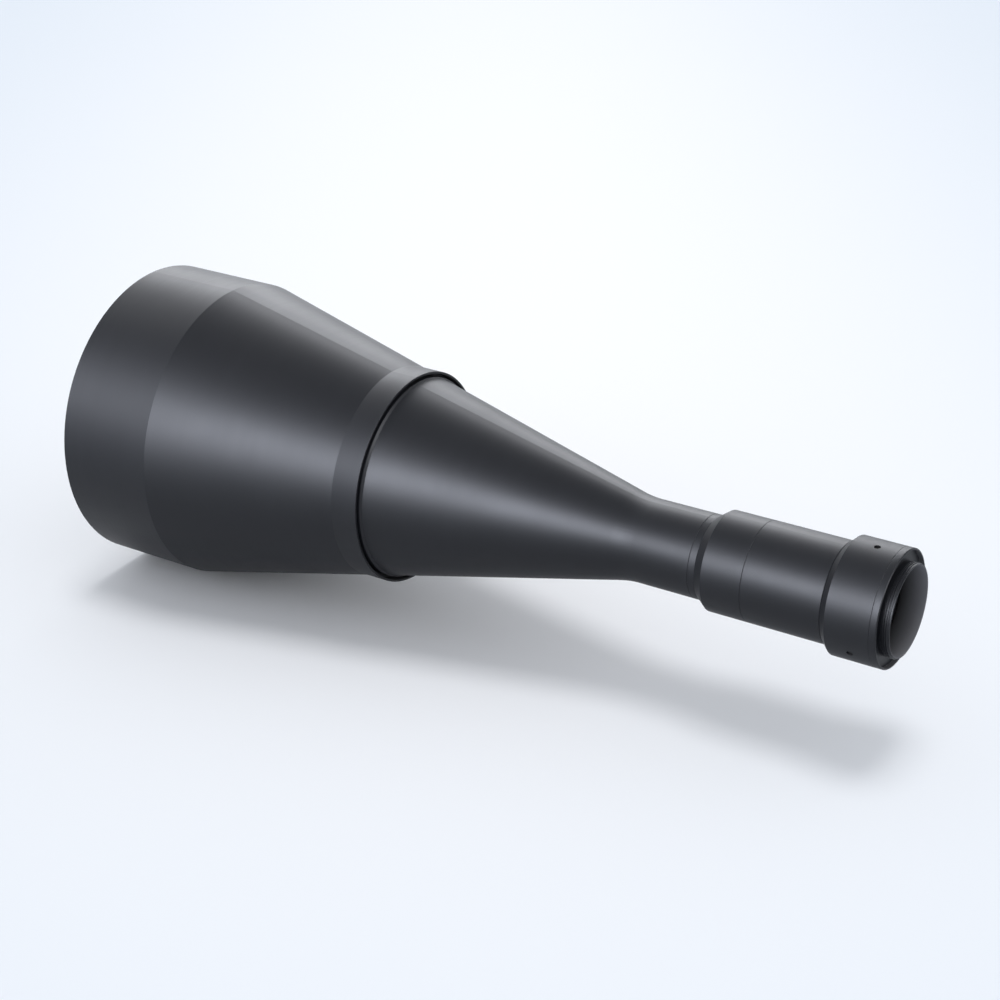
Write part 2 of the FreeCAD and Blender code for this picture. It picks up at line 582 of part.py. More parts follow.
def aperture(doc):
    """The fixed aperture stop and the ring that clamps it."""
    stop = turned(doc, "aperture_stop", [
        (at("stop_seat"), "sizes.stop_aperture / 2"),
        (at("stop_seat"), at("stop_pocket") + " - sizes.thread_clearance"),
        (at("stop_back"), at("stop_pocket") + " - sizes.thread_clearance"),
        (at("stop_back"), "sizes.stop_aperture / 2"),
    ])
    ring_back = at("stop_back") + " + sizes.stop_ring_length"
    ring = turned(doc, "stop_retaining_ring", [
        (at("stop_back"), at("stop_bore")),
        (at("stop_back"), at("stop_pocket") + " - sizes.thread_clearance"),
        (ring_back, at("stop_pocket") + " - sizes.thread_clearance"),
        (ring_back, at("stop_bore")),
    ])
    radial_slots(
        doc, ring, "stop_ring", ring_back, sized("stop_slot_width"),
        sized("stop_slot_depth"), at("stop_pocket"), False,
    )
    return [stop, ring]


def rear_barrel(doc):
    """Holds the rear group, and carries the spigot that the camera mount turns on."""
    return turned(doc, "rear_barrel", [
        (at("barrel_spigot_front"), at("rear_clear")),
        (at("barrel_spigot_front"), at("barrel_thread") + " - sizes.thread_clearance"),
        (at("barrel_seam"), at("barrel_thread") + " - sizes.thread_clearance"),
        (at("barrel_seam"), below("rear_radius")),
        (after("barrel_seam"), at("rear_radius")),
        (before("barrel_shoulder"), at("rear_radius")),
        (at("barrel_shoulder"), below("rear_radius")),
        (at("barrel_shoulder"), at("mount_spigot")),
        (at("groove_centre") + " - sizes.groove_depth", at("mount_spigot")),
        (at("groove_centre"), at("mount_spigot") + " - sizes.groove_depth"),
        (at("groove_centre") + " + sizes.groove_depth", at("mount_spigot")),
        (at("mount_spigot_end"), at("mount_spigot")),
        (at("mount_spigot_end"), at("rear_thread")),
        (at("rear_thread_start"), at("rear_thread")),
        (at("rear_thread_start"), at("rear_bore")),
        (at("rear_seat"), at("rear_bore")),
        (at("rear_seat"), at("rear_clear")),
    ])


def rear_glass(doc, label, surfaces):
    """One small lens from its two vertices and two edges."""
    vertex, edge, back_edge, back_vertex = surfaces
    return turned(doc, label, [
        (at(vertex), "0"),
        (at(edge), at("rear_glass")),
        (at(back_edge), at("rear_glass")),
        (at(back_vertex), "0"),
    ], {0: "axis", 2: "axis"})


def rear_spacer(doc, label, front, back):
    return turned(doc, label, [
        (at(front), at("rear_clear")),
        (at(front), at("rear_glass")),
        (at(back), at("rear_glass")),
        (at(back), at("rear_clear")),
    ])


def rear_group(doc):
    """Two cemented pairs with a meniscus between them, two spacers and a retaining ring."""
    pieces = [
        rear_glass(doc, "rear_lens_a", ("a_vertex", "a_edge", "a_back_edge", "a_back_vertex")),
        rear_glass(doc, "rear_lens_b", ("b_vertex", "b_edge", "b_back_edge", "b_back_vertex")),
        rear_spacer(doc, "rear_spacer_front", "rear_spacer_a_front", "rear_spacer_a_back"),
        rear_glass(doc, "rear_lens_c", ("c_vertex", "c_edge", "c_back_edge", "c_back_vertex")),
        rear_spacer(doc, "rear_spacer_back", "c_back_edge", "d_edge"),
        rear_glass(doc, "rear_lens_d", ("d_vertex", "d_edge", "d_back_edge", "d_back_vertex")),
        rear_glass(doc, "rear_lens_e", ("e_vertex", "e_edge", "e_back_edge", "e_back_vertex")),
    ]
    ring = turned(doc, "rear_retaining_ring", [
        (at("rear_ring_front"), at("rear_clear")),
        (at("rear_ring_front"), at("rear_thread") + " - sizes.thread_clearance"),
        (at("rear_ring_back"), at("rear_thread") + " - sizes.thread_clearance"),
        (at("rear_ring_back"), at("rear_clear")),
    ])
    radial_slots(
        doc, ring, "rear_ring", at("rear_ring_back"), sized("rear_slot_width"),
        sized("rear_slot_depth"), at("rear_thread"), False,
    )
    return pieces + [ring]


def camera_mount_ring(doc):
    """Ring that turns on the rear barrel's spigot, with its radial set screw holes."""
    ring = turned(doc, "camera_mount_ring", [
        (at("mount_front"), at("mount_bore")),
        (at("mount_front"), at("rear_radius")),
        (at("mount_front") + " + sizes.mount_ring_taper", at("mount_radius")),
        (before("mount_back"), at("mount_radius")),
        (at("mount_back"), below("mount_radius")),
        (at("mount_back"), at("flange_thread")),
        (at("flange_pocket_floor"), at("flange_thread")),
        (at("flange_pocket_floor"), at("mount_bore")),
    ])
    screw_holes(doc, ring)
    return ring


def camera_flange(doc):
    """Camera seat, its lip and the threaded barrel that the camera screws onto."""
    lip_end = at("flange_seat") + " + sizes.flange_lip_height"
    lip_inside = at("mount_radius") + " - sizes.flange_lip_wall"
    return turned(doc, "camera_flange", [
        (at("flange_front"), at("throat")),
        (at("flange_front"), at("flange_thread") + " - sizes.thread_clearance"),
        (at("mount_back"), at("flange_thread") + " - sizes.thread_clearance"),
        (at("mount_back"), below("mount_radius")),
        (after("mount_back"), at("mount_radius")),
        (lip_end + " - sizes.edge_break", at("mount_radius")),
        (lip_end, below("mount_radius")),
        (lip_end, lip_inside),
        (at("flange_seat"), lip_inside),
        (at("flange_seat"), at("camera_thread")),
        (at("lens_end") + " - sizes.camera_thread_lead", at("camera_thread")),
        (at("lens_end"), at("camera_thread") + " - sizes.camera_thread_lead"),
        (at("lens_end"), at("throat")),
    ])


def set_screw(sheet, stations):
    """One cone-point set screw with a hexagon socket, standing on +Z in the first hole."""
    radius = sheet.screw_diameter / 2 - sheet.thread_clearance
    point = stations.mount_spigot - sheet.groove_depth + sheet.screw_point_clearance
    top = stations.mount_radius - sheet.screw_sink
    shank_start = point + radius
    up = FreeCAD.Vector(0, 0, 1)
    tip = FreeCAD.Vector(stations.groove_centre, 0, point)
    base = FreeCAD.Vector(stations.groove_centre, 0, shank_start)
    cone = Part.makeCone(0, radius, radius, tip, up)
    shank = Part.makeCylinder(radius, top - shank_start, base, up)
    corner = sheet.screw_key_width / math.sqrt(3)
    key_floor = top - sheet.screw_key_depth
    sixth = FULL_TURN / 6
    corners = [
        FreeCAD.Vector(
            stations.groove_centre + corner * math.cos(math.radians(sixth * turn)),
            corner * math.sin(math.radians(sixth * turn)),
            key_floor,
        )
        for turn in range(7)
    ]
    key = Part.Face(Part.makePolygon(corners)).extrude(up * sheet.screw_key_depth)
    return shank.fuse(cone).removeSplitter().cut(key)


def mount_set_screws(doc, sheet, stations):
    """The set screws that lock the camera mount at its angle, as one group."""
    first = set_screw(sheet, stations)
    axis = FreeCAD.Vector(1, 0, 0)
    screws = []
    for index in range(int(sheet.screw_count)):
        screw = first.copy()
        screw.rotate(FreeCAD.Vector(), axis, FULL_TURN * index / sheet.screw_count)
        screws.append(screw)
    group = doc.addObject("Part::Feature", "mount_set_screws")
    group.Label = "mount_set_screws"
    group.Shape = Part.makeCompound(screws)
    return group


def check(doc, pieces):
    """Stop if any object failed or any piece isn't a sound solid."""
    for item in doc.Objects:
        if "Invalid" in item.State or "Error" in item.State:
            raise RuntimeError(f"{item.Label} did not compute: {item.State}")
    for piece in pieces:
        shape = piece.Shape
        if shape.isNull() or not shape.isValid() or not shape.Solids:
            raise RuntimeError(f"{piece.Label} is not a sound solid")


def write(pieces):
    os.makedirs("parts", exist_ok=True)
    for piece in pieces:
        piece.Shape.exportStep(f"parts/{piece.Label}.step")


def build():
    doc = FreeCAD.newDocument("telecentric_lens")
    sheet = make_sheet(doc)
    stations = make_stations(doc)
    pieces = [front_housing(doc)]
    pieces += front_group(doc)
    pieces += [cone_baffle(doc), rear_cone(doc), stop_housing(doc)]
    pieces += aperture(doc)
    pieces += [rear_barrel(doc)]
    pieces += rear_group(doc)
    pieces += [clocked(camera_mount_ring(doc), sheet)]
    pieces += [clocked(mount_set_screws(doc, sheet, stations), sheet)]
    pieces += [clocked(camera_flange(doc), sheet)]
    doc.recompute()
    check(doc, pieces)
    write(pieces)


build()
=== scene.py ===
"""Looks of the telecentric lens: its finishes, its fine threads, and a plain studio round it."""

import math

import bmesh
import bpy
from bpy.props import FloatProperty, FloatVectorProperty, IntProperty, PointerProperty
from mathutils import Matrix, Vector


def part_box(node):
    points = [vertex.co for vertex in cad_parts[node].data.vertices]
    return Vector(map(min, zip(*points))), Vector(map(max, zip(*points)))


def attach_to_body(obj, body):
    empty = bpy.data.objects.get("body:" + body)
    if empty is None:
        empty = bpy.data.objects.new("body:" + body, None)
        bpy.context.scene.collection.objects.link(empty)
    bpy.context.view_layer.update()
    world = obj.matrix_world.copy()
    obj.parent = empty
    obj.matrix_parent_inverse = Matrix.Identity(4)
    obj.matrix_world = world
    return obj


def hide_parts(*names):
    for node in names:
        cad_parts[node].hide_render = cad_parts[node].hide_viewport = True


bl_info = {
    "name": "Telecentric Lens",
    "version": (1, 0, 0),
    "blender": (4, 5, 0),
    "location": "View3D > Sidebar > Lens",
    "description": "Finishes, fine threads and studio for a large telecentric lens",
    "category": "Object",
}

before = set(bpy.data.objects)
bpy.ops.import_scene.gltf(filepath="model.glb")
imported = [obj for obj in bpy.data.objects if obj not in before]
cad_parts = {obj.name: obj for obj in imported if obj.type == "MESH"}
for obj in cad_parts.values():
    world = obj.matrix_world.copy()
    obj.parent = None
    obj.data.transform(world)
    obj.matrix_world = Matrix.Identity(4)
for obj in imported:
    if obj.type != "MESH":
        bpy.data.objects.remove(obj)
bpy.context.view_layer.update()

MM = 0.001
FULL_TURN = 2 * math.pi

# Places along the optical axis and radii, read from the frame's own nodes.
LENS_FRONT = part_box("front_housing")[0].x
FRONT_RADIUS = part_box("front_housing")[1].z
LENS_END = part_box("camera_flange")[1].x
FLANGE_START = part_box("camera_flange")[0].x
MOUNT_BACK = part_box("camera_mount_ring")[1].x
MOUNT_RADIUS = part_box("camera_mount_ring")[1].z
RING_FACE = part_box("front_retaining_ring")[0].x
RING_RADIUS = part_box("front_retaining_ring")[1].z

# Sizes that the flange and the threads share with the lens's drawings.
FLANGE_THREAD_RADIUS = 22.5 * MM
FLANGE_SEAT = MOUNT_BACK + 1.2 * MM
LIP_END = FLANGE_SEAT + 2.0 * MM
LIP_WALL = 0.8 * MM
LIP_CHAMFER = 0.35 * MM
THROAT_RADIUS = 20.1 * MM
CAMERA_THREAD_RADIUS = 21.0 * MM
CAMERA_THREAD_RELIEF = 0.9 * MM
CAMERA_THREAD_LEAD = 0.5 * MM
RIM_THREAD_ROOM = 0.05 * MM

# Form of a thread's ridge: half its width at the foot and at the crest, and the run in which
# it fades out, as shares of the pitch; how deep its foot sits; its height at the very ends.
RIDGE_FOOT = 0.44
RIDGE_CREST = 0.22
RIDGE_FADE = 0.4
RIDGE_SUNK = 0.12 * MM
RIDGE_END_HEIGHT = 0.02

# Mesh work: points this close are one, and the angles that make a corner and a crease.
SAME_PLACE = 1e-7
CORNER_ANGLE = math.radians(30)
CREASE_ANGLE = math.radians(20)

# A noise texture's values hardly leave this range.
NOISE_LOW = 0.25
NOISE_HIGH = 0.75

# Anodised surfaces: texture cells a metre, the bands' shades, what the clouds, the turning
# marks and the bores add to the roughness, and the relief of the marks and the grain.
MARK_CELLS_ACROSS = 6.0
BAND_CELLS = (140.0, 3.0, 3.0)
GRAIN_CELLS = 9000.0
CLOUD_CELLS = 22.0
DARK_BAND = 0.9
LIGHT_BAND = 1.12
CLOUD_ROUGHNESS = 0.025
MARK_ROUGHNESS = 0.02
BORE_DULLING = 0.54
RELIEF_HEIGHT = 0.004 * MM
MARK_RELIEF = 0.35
GRAIN_RELIEF = 0.25
ANODISED_GLOSS = 0.19

# Painted light in the bores: greys lighter than the anodised body stand in for light
# reaching inside, and the flange's throat runs from painted shade deep in to painted light
# at its mouth; their blue cast, and how far inwards a face must look to count as bore.
BORE_PAINTED_LIGHT = 0.018
THROAT_PAINTED_SHADE = 0.008
MOUTH_PAINTED_LIGHT = 0.19
BLUE_CAST = 1.08
BORE_LIMIT = -1.0 * MM

GLASS_CELLS = 60.0
GLASS_TONES = ((0.975, 0.99, 0.985), (0.99, 0.998, 0.995))
GLASS_INDEX = 1.52

# The floor's white patch, a painted pool of light: its middle, and how far it fades across,
# behind and ahead.
FLOOR_MIDDLE = Vector((0.122, 0.127, 0.0))
FLOOR_FADE_ACROSS = 0.64
FLOOR_FADE_BEHIND = 3.4
FLOOR_FADE_AHEAD = 0.82

# Colours of the world, from the horizon up.
WORLD_TONES = (
    (0.0, (0.82, 0.88, 0.96)),
    (0.22, (0.985, 0.995, 1.0)),
    (0.8, (0.68, 0.70, 0.73)),
)

# Reflection cards: name, direction from the lens, width, height, share of the strength, colour.
CARD_DISTANCE = 2.0
COOL_WHITE = (0.85, 0.89, 1.0)
PALE_WHITE = (0.93, 0.95, 1.0)
CARDS = (
    ("front_card", (-0.03, -0.93, 0.37), 1.0, 0.80, 1.10, COOL_WHITE),
    ("front_left_card", (-0.42, -0.84, 0.37), 0.7, 0.80, 0.32, COOL_WHITE),
    ("left_card", (-0.80, -0.60, 0.36), 1.1, 0.85, 0.19, COOL_WHITE),
    ("back_card", (-0.34, 0.82, 0.42), 1.8, 0.80, 0.17, PALE_WHITE),
    ("high_back_card", (-0.34, 0.74, 0.56), 1.8, 0.90, 0.05, PALE_WHITE),
    ("high_left_card", (-0.72, 0.30, 0.66), 1.2, 0.90, 0.05, PALE_WHITE),
    ("camera_side_card", (0.87, -0.13, 0.48), 1.2, 0.70, 0.40, PALE_WHITE),
)

SENSOR_WIDTH_MM = 36.0
NEAREST_SEEN = 0.01
FARTHEST_SEEN = 50.0

BARRELS = ("front_housing", "rear_cone", "stop_housing", "rear_barrel", "camera_mount_ring")
RINGS = ("front_retaining_ring", "rear_retaining_ring")
MATT_PIECES = (
    "front_lens_spacer", "cone_baffle", "aperture_stop", "stop_retaining_ring",
    "rear_spacer_front", "rear_spacer_back",
)
GLASS_PIECES = (
    "front_lens", "second_lens", "rear_lens_a", "rear_lens_b", "rear_lens_c", "rear_lens_d",
    "rear_lens_e",
)


class FinishSettings(bpy.types.PropertyGroup):
    """Colours and textures of the lens's surfaces."""
    anodised_colour: FloatVectorProperty(
        name="Anodised Black", description="Body colour of the anodised aluminium",
        subtype="COLOR", size=3, default=(0.0085, 0.0094, 0.0126), min=0.0, max=1.0,
    )
    anodised_roughness: FloatProperty(
        name="Anodised Roughness", description="Roughness of the satin anodised surface",
        default=0.46, min=0.0, max=1.0, subtype="FACTOR",
    )
    turning_pitch: FloatProperty(
        name="Turning Pitch", description="Distance between turning marks",
        default=0.35 * MM, min=0.05 * MM, max=5 * MM, unit="LENGTH",
    )
    matt_colour: FloatVectorProperty(
        name="Matt Black", description="Colour of the blackened inner pieces",
        subtype="COLOR", size=3, default=(0.010, 0.010, 0.011), min=0.0, max=1.0,
    )
    glass_tint: FloatVectorProperty(
        name="Coating Tint", description="Colour of the coating's reflection",
        subtype="COLOR", size=3, default=(0.08, 0.17, 0.14), min=0.0, max=1.0,
    )
    steel_colour: FloatVectorProperty(
        name="Black Steel", description="Colour of the blackened set screws",
        subtype="COLOR", size=3, default=(0.045, 0.043, 0.042), min=0.0, max=1.0,
    )


class ThreadSettings(bpy.types.PropertyGroup):
    """Form of the fine threads and the turned edges."""
    camera_pitch: FloatProperty(
        name="Camera Thread Pitch", description="Pitch of the camera thread",
        default=1.0 * MM, min=0.2 * MM, max=4 * MM, unit="LENGTH",
    )
    camera_depth: FloatProperty(
        name="Camera Thread Depth", description="Crest to root of the camera thread",
        default=0.35 * MM, min=0.1 * MM, max=2 * MM, unit="LENGTH",
    )
    front_pitch: FloatProperty(
        name="Front Thread Pitch", description="Pitch of the thread in the front rim",
        default=1.0 * MM, min=0.2 * MM, max=4 * MM, unit="LENGTH",
    )
    front_depth: FloatProperty(
        name="Front Thread Depth", description="Crest to root of the thread in the front rim",
        default=0.5 * MM, min=0.1 * MM, max=2 * MM, unit="LENGTH",
    )
    steps: IntProperty(
        name="Steps a Turn", description="Segments in one turn of a turned piece",
        default=192, min=24, max=512,
    )
    edge_break: FloatProperty(
        name="Edge Break", description="Width of the small chamfer on turned edges",
        default=0.12 * MM, min=0.01 * MM, max=1 * MM, unit="LENGTH",
    )


class StudioSettings(bpy.types.PropertyGroup):
    """Camera, floor and lamps."""
    azimuth: FloatProperty(
        name="Azimuth", description="Camera direction round the lens",
        default=math.radians(32.165), subtype="ANGLE", unit="ROTATION",
    )
    elevation: FloatProperty(
        name="Elevation", description="Camera height above the horizon",
        default=math.radians(25.81), subtype="ANGLE", unit="ROTATION",
    )
    distance: FloatProperty(
        name="Distance", description="Camera to the point it looks at",
        default=0.9939, min=0.1, unit="LENGTH",
    )
    target: FloatVectorProperty(
        name="Target", description="Point that the camera looks at",
        subtype="XYZ", unit="LENGTH", size=3, default=(0.2021, 0.0, -0.0002),
    )
    focal_length: FloatProperty(
        name="Focal Length", description="Camera focal length in millimetres",
        default=77.32, min=10.0,
    )
    floor_size: FloatProperty(
        name="Floor Size", description="Side of the square floor", default=12.0, min=1.0,
        unit="LENGTH",
    )
    # The floor's painted pool of light fades from the centre colour to the edge colour.
    floor_centre_colour: FloatVectorProperty(
        name="Floor Centre", description="Floor colour under the lens",
        subtype="COLOR", size=3, default=(0.955, 0.96, 0.985), min=0.0, max=1.0,
    )
    floor_edge_colour: FloatVectorProperty(
        name="Floor Edge", description="Floor colour far from the lens",
        subtype="COLOR", size=3, default=(0.753, 0.807, 0.878), min=0.0, max=1.0,
    )
    overhead_strength: FloatProperty(
        name="Overhead Strength", description="Sun lamp straight above, in watts a square metre",
        default=0.89, min=0.0,
    )
    overhead_spread: FloatProperty(
        name="Overhead Spread", description="Angular size of the overhead lamp",
        default=math.radians(22.0), subtype="ANGLE", unit="ROTATION",
    )
    card_strength: FloatProperty(
        name="Card Strength", description="Radiance of a reflection card whose share is 1",
        default=45.0, min=0.0,
    )


def new_material(name):
    """Empty node material with a Principled shader wired to its output."""
    material = bpy.data.materials.new(name)
    material.use_nodes = True
    tree = material.node_tree
    tree.nodes.clear()
    output = tree.nodes.new("ShaderNodeOutputMaterial")
    shader = tree.nodes.new("ShaderNodeBsdfPrincipled")
    tree.links.new(shader.outputs["BSDF"], output.inputs["Surface"])
    return material, tree, shader


def coordinates(tree, kind="Object"):
    """A texture coordinate, such as Object, Normal or the world's Generated."""
    return tree.nodes.new("ShaderNodeTexCoord").outputs[kind]


def scaled_coordinates(tree, scale=(1.0, 1.0, 1.0)):
    """Object coordinates times a scale for each axis."""
    mapping = tree.nodes.new("ShaderNodeMapping")
    mapping.inputs["Scale"].default_value = scale
    tree.links.new(coordinates(tree), mapping.inputs["Vector"])
    return mapping.outputs["Vector"]


def separate(tree, vector):
    """The X, Y and Z of a vector."""
    node = tree.nodes.new("ShaderNodeSeparateXYZ")
    tree.links.new(vector, node.inputs["Vector"])
    return node.outputs


def noise(tree, vector, scale, detail, roughness=0.5):
    """Values of a noise texture, mostly from NOISE_LOW to NOISE_HIGH."""
    node = tree.nodes.new("ShaderNodeTexNoise")
    node.inputs["Scale"].default_value = scale
    node.inputs["Detail"].default_value = detail
    node.inputs["Roughness"].default_value = roughness
    tree.links.new(vector, node.inputs["Vector"])
    return node.outputs["Fac"]


def remap(tree, value, low, high, start=NOISE_LOW, end=NOISE_HIGH):
    """Bring the range from start to end to the range from low to high."""
    node = tree.nodes.new("ShaderNodeMapRange")
    node.inputs["From Min"].default_value = start
    node.inputs["From Max"].default_value = end
    node.inputs["To Min"].default_value = low
    node.inputs["To Max"].default_value = high
    tree.links.new(value, node.inputs["Value"])
    return node.outputs["Result"]


def calculate(tree, operation, *values):
    """A Math node whose inputs are sockets or plain numbers."""
    node = tree.nodes.new("ShaderNodeMath")
    node.operation = operation
    for socket, value in zip(node.inputs, values):
        if isinstance(value, bpy.types.NodeSocket):
            tree.links.new(value, socket)
        else:
            socket.default_value = value
    return node.outputs["Value"]


def blend_colours(tree, factor, first, second):
    """Mix two colours, each of them a socket or plain numbers."""
    node = tree.nodes.new("ShaderNodeMix")
    node.data_type = "RGBA"
    for name, colour in (("A", first), ("B", second)):
        if isinstance(colour, bpy.types.NodeSocket):
            tree.links.new(colour, node.inputs[name])
        else:
            node.inputs[name].default_value = (*colour, 1.0)
    tree.links.new(factor, node.inputs["Factor"])
    return node.outputs["Result"]


def bump(tree, height, distance, strength, normal=None):
    """Relief from a height, over an earlier relief where one is given."""
    node = tree.nodes.new("ShaderNodeBump")
    node.inputs["Distance"].default_value = distance
    node.inputs["Strength"].default_value = strength
    tree.links.new(height, node.inputs["Height"])
    if normal is not None:
        tree.links.new(normal, node.inputs["Normal"])
    return node.outputs["Normal"]


def shade(colour, factor):
    """A lighter or darker copy of a colour."""
    return tuple(channel * factor for channel in colour)


def painted_bore_light(grey):
    """Painted light for a bore: a dull grey with a faint blue cast."""
    return (grey, grey, grey * BLUE_CAST)


def bore_mask(tree):
    """1 on faces that look towards the optical axis, 0 on the outside."""
    normal = separate(tree, coordinates(tree, "Normal"))
    point = separate(tree, coordinates(tree))
    outward = calculate(
        tree, "ADD",
        calculate(tree, "MULTIPLY", normal["Y"], point["Y"]),
        calculate(tree, "MULTIPLY", normal["Z"], point["Z"]),
    )
    return calculate(tree, "LESS_THAN", outward, BORE_LIMIT)


def painted_mouth_light(tree):
    """Painted shade deep in the camera flange's throat, lightening to painted light at its open
    end.
    """
    depth = separate(tree, coordinates(tree))["X"]
    return blend_colours(tree, remap(tree, depth, 0.0, 1.0, FLANGE_START, LENS_END),
                         painted_bore_light(THROAT_PAINTED_SHADE), painted_bore_light(MOUTH_PAINTED_LIGHT))


def anodised_black(name="anodised_black", paint_mouth_light=False):
    """Satin black anodised aluminium, with turning marks round the axis and dull bores painted a
    lighter grey for light inside them; with paint_mouth_light, the flange's throat gets painted
    shade deep in and painted light at its mouth.
    """
    finish = bpy.context.scene.lens_finish
    material, tree, shader = new_material(name)
    mark_cells = (1 / finish.turning_pitch, MARK_CELLS_ACROSS, MARK_CELLS_ACROSS)
    marks = noise(tree, scaled_coordinates(tree, mark_cells), 1.0, detail=2.0)
    bands = noise(tree, scaled_coordinates(tree, BAND_CELLS), 1.0, detail=3.0)
    grain = noise(tree, scaled_coordinates(tree), GRAIN_CELLS, detail=1.0)
    cloud = noise(tree, scaled_coordinates(tree), CLOUD_CELLS, detail=4.0, roughness=0.6)
    bore = bore_mask(tree)
    outside = calculate(tree, "SUBTRACT", 1.0, bore)

    colour = tuple(finish.anodised_colour)
    banded = blend_colours(tree, bands, shade(colour, DARK_BAND), shade(colour, LIGHT_BAND))
    # Inward faces take painted light in place of the light that reaches inside the bores.
    inside = painted_mouth_light(tree) if paint_mouth_light else painted_bore_light(BORE_PAINTED_LIGHT)
    tree.links.new(blend_colours(tree, bore, banded, inside), shader.inputs["Base Color"])

    rough = finish.anodised_roughness
    clouded = remap(tree, cloud, rough - CLOUD_ROUGHNESS, rough + CLOUD_ROUGHNESS)
    marked = calculate(tree, "ADD", clouded, remap(tree, marks, -MARK_ROUGHNESS, MARK_ROUGHNESS))
    dulled = calculate(tree, "ADD", marked, calculate(tree, "MULTIPLY", bore, BORE_DULLING))
    tree.links.new(dulled, shader.inputs["Roughness"])

    turned = calculate(tree, "MULTIPLY", marks, outside)
    blasted = calculate(tree, "MULTIPLY", grain, outside)
    relief = bump(tree, turned, RELIEF_HEIGHT, MARK_RELIEF)
    relief = bump(tree, blasted, RELIEF_HEIGHT, GRAIN_RELIEF, relief)
    tree.links.new(relief, shader.inputs["Normal"])
    shader.inputs["Specular IOR Level"].default_value = ANODISED_GLOSS
    shader.inputs["IOR"].default_value = 1.5
    return material


def grained(name, colour, contrast, cells, roughness, height, strength):
    """A dark finish with one fine grain in its colour, its roughness and its relief."""
    material, tree, shader = new_material(name)
    grain = noise(tree, scaled_coordinates(tree), cells, detail=3.0)
    dark, light = (shade(colour, factor) for factor in contrast)
    tree.links.new(blend_colours(tree, grain, dark, light), shader.inputs["Base Color"])
    tree.links.new(remap(tree, grain, *roughness), shader.inputs["Roughness"])
    tree.links.new(bump(tree, grain, height, strength), shader.inputs["Normal"])
    return material, shader


def matt_black():
    """Dead black coating of the inner pieces, with a fine grain."""
    material, shader = grained(
        "matt_black", bpy.context.scene.lens_finish.matt_colour, contrast=(0.8, 1.3),
        cells=4000.0, roughness=(0.66, 0.78), height=0.02 * MM, strength=0.4,
    )
    shader.inputs["Specular IOR Level"].default_value = 0.3
    return material


def black_steel():
    """Blackened steel of the set screws."""
    material, shader = grained(
        "black_steel", bpy.context.scene.lens_finish.steel_colour, contrast=(0.7, 1.3),
        cells=2500.0, roughness=(0.38, 0.5), height=0.01 * MM, strength=0.3,
    )
    shader.inputs["Metallic"].default_value = 0.8
    return material


def coated_glass():
    """Polished optical glass whose coating reflects a faint green."""
    material, tree, shader = new_material("coated_glass")
    haze = noise(tree, scaled_coordinates(tree), GLASS_CELLS, detail=4.0, roughness=0.7)
    tree.links.new(blend_colours(tree, haze, *GLASS_TONES), shader.inputs["Base Color"])
    shader.inputs["Roughness"].default_value = 0.0
    shader.inputs["Transmission Weight"].default_value = 1.0
    shader.inputs["IOR"].default_value = GLASS_INDEX
    shader.inputs["Specular IOR Level"].default_value = 0.35
    tint = bpy.context.scene.lens_finish.glass_tint
    shader.inputs["Specular Tint"].default_value = (*tint, 1.0)
    return material


def dress(nodes, material):
    """Give carried-over nodes their finish."""
    for name in nodes:
        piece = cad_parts[name]
        piece.data.materials.clear()
        piece.data.materials.append(material)


def linked(name, data):
    """A new object in the scene."""
    made = bpy.data.objects.new(name, data)
    bpy.context.scene.collection.objects.link(made)
    return made


def finished(piece, name):
    """Turn a bmesh into a linked object with smooth faces and crisp corners."""
    bmesh.ops.recalc_face_normals(piece, faces=piece.faces)
    mesh = bpy.data.meshes.new(name)
    piece.to_mesh(mesh)
    piece.free()
    mesh.shade_smooth()
    mesh.set_sharp_from_angle(angle=CREASE_ANGLE)
    return linked(name, mesh)


def section_rims(piece, corners):
    """Corners of a section in the XZ plane, given as (along the axis, radius)."""
    return [piece.verts.new((along, 0.0, radius)) for along, radius in corners]


def sharp_rims(piece):
    """Circular edges where two turned faces meet at a marked angle."""
    return [
        edge for edge in piece.edges
        if len(edge.link_faces) == 2
        and edge.calc_face_angle() > CORNER_ANGLE
        and abs(edge.verts[0].co.x - edge.verts[1].co.x) < SAME_PLACE
    ]


def turned_piece(name, corners, edge_break, steps):
    """Spin a closed half section about the optical axis and break its edges."""
    piece = bmesh.new()
    rims = section_rims(piece, corners)
    sides = [piece.edges.new((rims[index - 1], rims[index])) for index in range(len(rims))]
    bmesh.ops.spin(piece, geom=rims + sides, cent=(0, 0, 0), axis=(1, 0, 0), dvec=(0, 0, 0),
                   angle=FULL_TURN, steps=steps, use_merge=True)
    bmesh.ops.remove_doubles(piece, verts=piece.verts, dist=SAME_PLACE)
    bmesh.ops.recalc_face_normals(piece, faces=piece.faces)
    bmesh.ops.bevel(piece, geom=sharp_rims(piece), offset=edge_break, offset_type="OFFSET",
                    segments=2, profile=0.5, affect="EDGES", material=-1, clamp_overlap=True)
    return finished(piece, name)


